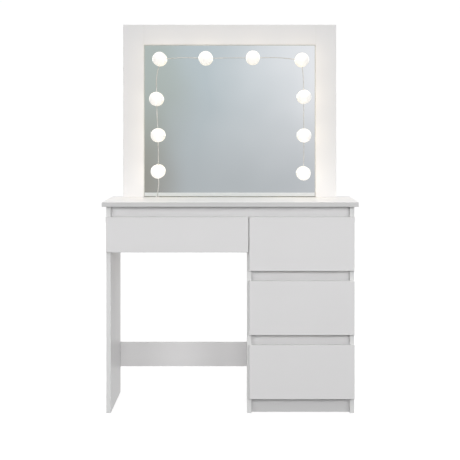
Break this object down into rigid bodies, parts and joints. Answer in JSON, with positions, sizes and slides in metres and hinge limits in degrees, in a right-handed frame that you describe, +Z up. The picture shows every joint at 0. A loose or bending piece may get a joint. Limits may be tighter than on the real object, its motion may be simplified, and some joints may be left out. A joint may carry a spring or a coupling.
{
  "type": "vanity table",
  "caption": "White laminated vanity table with a framed mirror, globe lights on a string wire, an open kneehole and four sliding drawers with finger-gap fronts.",
  "frame": {"origin": "on the floor under the centre of the tabletop", "axes": "+X to the sitter's right, +Y to the rear, +Z up; the drawers open along -Y"},
  "size_m": [0.9, 0.4, 1.393],
  "materials": {
    "white_laminate": "white melamine laminate on particle board, satin, with white edge banding",
    "hardboard": "3 mm hardboard, white lacquered on the side that shows",
    "zinc_fittings": "zinc die casting and zinc plated screws",
    "zinc_steel": "zinc plated sheet steel",
    "mirror": "silvered float glass with polished edges",
    "opal_globe": "opal white diffuser, lit",
    "white_plastic": "moulded white plastic",
    "led_board": "white lacquered circuit board",
    "foam_pad": "double-sided foam adhesive pad",
    "cable_pvc": "light grey soft PVC cable",
    "plug_plastic": "white moulded plug with a plated steel shell"
  },
  "bodies": {
    "carcass": {"bracket_screws": "zinc_fittings", "cam_locks": "zinc_fittings", "kneehole_rear_rail": "white_laminate", "kneehole_stretcher": "white_laminate", "left_leg_panel": "white_laminate", "light_adhesive_pads": "foam_pad", "light_bases": "white_plastic", "light_globes": "opal_globe", "light_led_boards": "led_board", "light_string_wire": "cable_pvc", "mirror_backing": "hardboard", "mirror_bottom_batten": "white_laminate", "mirror_brackets": "zinc_steel", "mirror_glass": "mirror", "mirror_left_stile": "white_laminate", "mirror_right_stile": "white_laminate", "mirror_top_rail": "white_laminate", "pedestal_back_panel": "hardboard", "pedestal_bottom_panel": "white_laminate", "pedestal_left_panel": "white_laminate", "pedestal_rail_lower": "white_laminate", "pedestal_rail_upper": "white_laminate", "pedestal_right_panel": "white_laminate", "plinth_board": "white_laminate", "runner_channels": "zinc_steel", "tabletop": "white_laminate", "top_front_rail": "white_laminate", "usb_lead": "cable_pvc", "usb_lead_coil": "cable_pvc", "usb_lead_tail": "cable_pvc", "usb_plug": "plug_plastic"},
    "kneehole_drawer": {"kneehole_drawer_back": "white_laminate", "kneehole_drawer_bottom": "hardboard", "kneehole_drawer_cam_locks": "zinc_fittings", "kneehole_drawer_front": "white_laminate", "kneehole_drawer_left_side": "white_laminate", "kneehole_drawer_right_side": "white_laminate", "kneehole_drawer_runners": "zinc_steel"},
    "upper_drawer": {"upper_drawer_back": "white_laminate", "upper_drawer_bottom": "hardboard", "upper_drawer_cam_locks": "zinc_fittings", "upper_drawer_front": "white_laminate", "upper_drawer_left_side": "white_laminate", "upper_drawer_right_side": "white_laminate", "upper_drawer_runners": "zinc_steel"},
    "middle_drawer": {"middle_drawer_back": "white_laminate", "middle_drawer_bottom": "hardboard", "middle_drawer_cam_locks": "zinc_fittings", "middle_drawer_front": "white_laminate", "middle_drawer_left_side": "white_laminate", "middle_drawer_right_side": "white_laminate", "middle_drawer_runners": "zinc_steel"},
    "lower_drawer": {"lower_drawer_back": "white_laminate", "lower_drawer_bottom": "hardboard", "lower_drawer_cam_locks": "zinc_fittings", "lower_drawer_front": "white_laminate", "lower_drawer_left_side": "white_laminate", "lower_drawer_right_side": "white_laminate", "lower_drawer_runners": "zinc_steel"}
  },
  "joints": [
    {"name": "kneehole_drawer_slide", "type": "slide", "parent": "carcass", "child": "kneehole_drawer", "axis": [0, -1, 0], "range_m": [0, 0.22]},
    {"name": "upper_drawer_slide", "type": "slide", "parent": "carcass", "child": "upper_drawer", "axis": [0, -1, 0], "range_m": [0, 0.22]},
    {"name": "middle_drawer_slide", "type": "slide", "parent": "carcass", "child": "middle_drawer", "axis": [0, -1, 0], "range_m": [0, 0.22]},
    {"name": "lower_drawer_slide", "type": "slide", "parent": "carcass", "child": "lower_drawer", "axis": [0, -1, 0], "range_m": [0, 0.22]}
  ]
}
